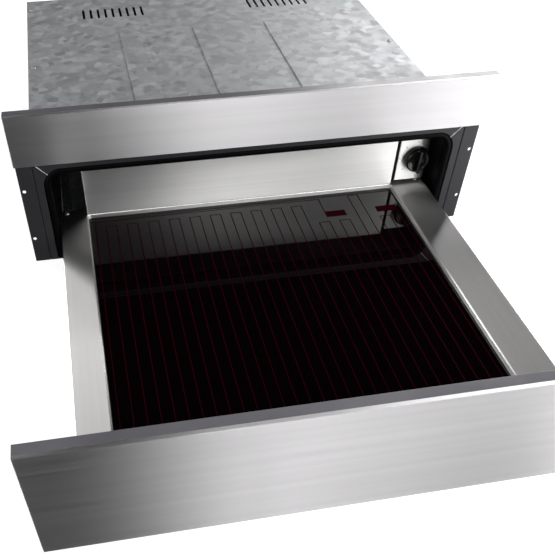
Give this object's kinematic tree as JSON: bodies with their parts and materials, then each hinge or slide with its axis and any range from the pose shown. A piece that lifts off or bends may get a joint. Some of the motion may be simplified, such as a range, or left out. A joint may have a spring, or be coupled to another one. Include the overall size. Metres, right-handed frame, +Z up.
{
  "type": "built-in warming drawer",
  "caption": "Built-in warming drawer with a heated black glass tray in a brushed steel drawer on full-extension slides, a rotary control and a flat push-to-open front.",
  "frame": {"origin": "middle of the front lower edge of the case: on the centre line, on the front plane of the mounting flanges and on the underside", "axes": "+X to the user's right, +Y into the cabinet, +Z up; the drawer is at rest fully open, towards -Y"},
  "size_m": [0.595, 1.0141, 0.2035],
  "materials": {
    "fascia_steel": "brushed",
    "ledge_steel": "brushed",
    "panel_steel": "brushed",
    "back_tray_paint": "satin",
    "honeycomb": "matte",
    "flange_paint": "satin",
    "case_zinc": "satin",
    "lip_black": "satin",
    "pan_zinc": "satin",
    "slide_zinc": "satin",
    "fastener_steel": "polished",
    "glass_black": "polished",
    "seal_black": "matte",
    "track_enamel": "satin",
    "heater_mica": "matte",
    "spreader_aluminium": "satin",
    "wool": "matte",
    "ceramic_white": "satin",
    "knob_black": "gloss",
    "mark_print": "matte",
    "plastic_black": "matte",
    "plastic_grey": "matte",
    "buffer_rubber": "matte"
  },
  "bodies": {
    "case": {"base_plate": "case_zinc", "right_side_panel": "flange_paint", "left_side_panel": "flange_paint", "rear_panel": "case_zinc", "top_cover": "case_zinc", "cover_screws": "fastener_steel", "frame_left_stile": "flange_paint", "frame_right_stile": "flange_paint", "frame_top_rail": "flange_paint", "frame_mitre_welds": "fastener_steel", "opening_lip": "lip_black", "upper_trim_skin": "fascia_steel", "upper_trim_tray": "back_tray_paint", "upper_trim_core": "honeycomb", "upper_trim_bracket_left": "case_zinc", "upper_trim_bracket_right": "case_zinc", "slide_fixed_right": "slide_zinc", "slide_fixed_left": "slide_zinc", "slide_bracket_right": "case_zinc", "slide_bracket_left": "case_zinc", "push_latch_body": "plastic_black", "push_latch_spring": "fastener_steel", "terminal_box": "plastic_black", "terminal_box_lid": "plastic_black", "inlet_gland": "plastic_grey"},
    "drawer": {"drawer_front_skin": "fascia_steel", "drawer_front_tray": "back_tray_paint", "drawer_front_core": "honeycomb", "drawer_front_buffers": "buffer_rubber", "drawer_front_screws": "fastener_steel", "drawer_pan": "pan_zinc", "drawer_deck": "ledge_steel", "deck_rivets": "fastener_steel", "back_panel": "panel_steel", "front_gusset_right": "panel_steel", "front_gusset_left": "panel_steel", "glass_plate": "glass_black", "glass_seal": "seal_black", "track_print": "track_enamel", "heater_mat": "heater_mica", "heat_spreader": "spreader_aluminium", "insulation_mat": "wool", "thermal_cutout": "ceramic_white", "control_box": "panel_steel", "control_box_cover": "pan_zinc", "wiring_tray": "pan_zinc", "terminal_block": "ceramic_white", "thermostat_body": "plastic_black", "dial_marks": "mark_print", "slide_inner_right": "slide_zinc", "slide_inner_left": "slide_zinc"},
    "knob": {"knob": "knob_black", "thermostat_shaft": "fastener_steel"},
    "slide_middles": {"slide_middle_left": "slide_zinc", "slide_middle_right": "slide_zinc"},
    "outer_cages": {"ball_cages_outer": "slide_zinc"},
    "inner_cages": {"ball_cages_inner": "slide_zinc"},
    "latch_plunger": {"push_latch_plunger": "plastic_grey"}
  },
  "joints": [
    {"name": "drawer_slide", "type": "slide", "parent": "case", "child": "drawer", "axis": [0, -1, 0], "range_m": [-0.4416, 0]},
    {"name": "slide_middles_slide", "type": "slide", "parent": "case", "child": "slide_middles", "axis": [0, -1, 0], "range_m": [-0.2208, 0]},
    {"name": "outer_cages_slide", "type": "slide", "parent": "case", "child": "outer_cages", "axis": [0, -1, 0], "range_m": [-0.1104, 0]},
    {"name": "inner_cages_slide", "type": "slide", "parent": "case", "child": "inner_cages", "axis": [0, -1, 0], "range_m": [-0.3312, 0]},
    {"name": "knob_turn", "type": "hinge", "parent": "drawer", "child": "knob", "pos_m": [0.239, 0.0407, 0.074], "axis": [0, 1, 0], "range_deg": [0, 315]},
    {"name": "latch_push", "type": "slide", "parent": "case", "child": "latch_plunger", "axis": [0, 1, 0], "range_m": [0, 0.006], "stiffness_N_per_m": 500, "springref_m": -0.008}
  ],
  "couplings": [
    {"joint": "slide_middles_slide", "follows": "drawer_slide", "ratio": 0.5},
    {"joint": "outer_cages_slide", "follows": "drawer_slide", "ratio": 0.25},
    {"joint": "inner_cages_slide", "follows": "drawer_slide", "ratio": 0.75}
  ]
}
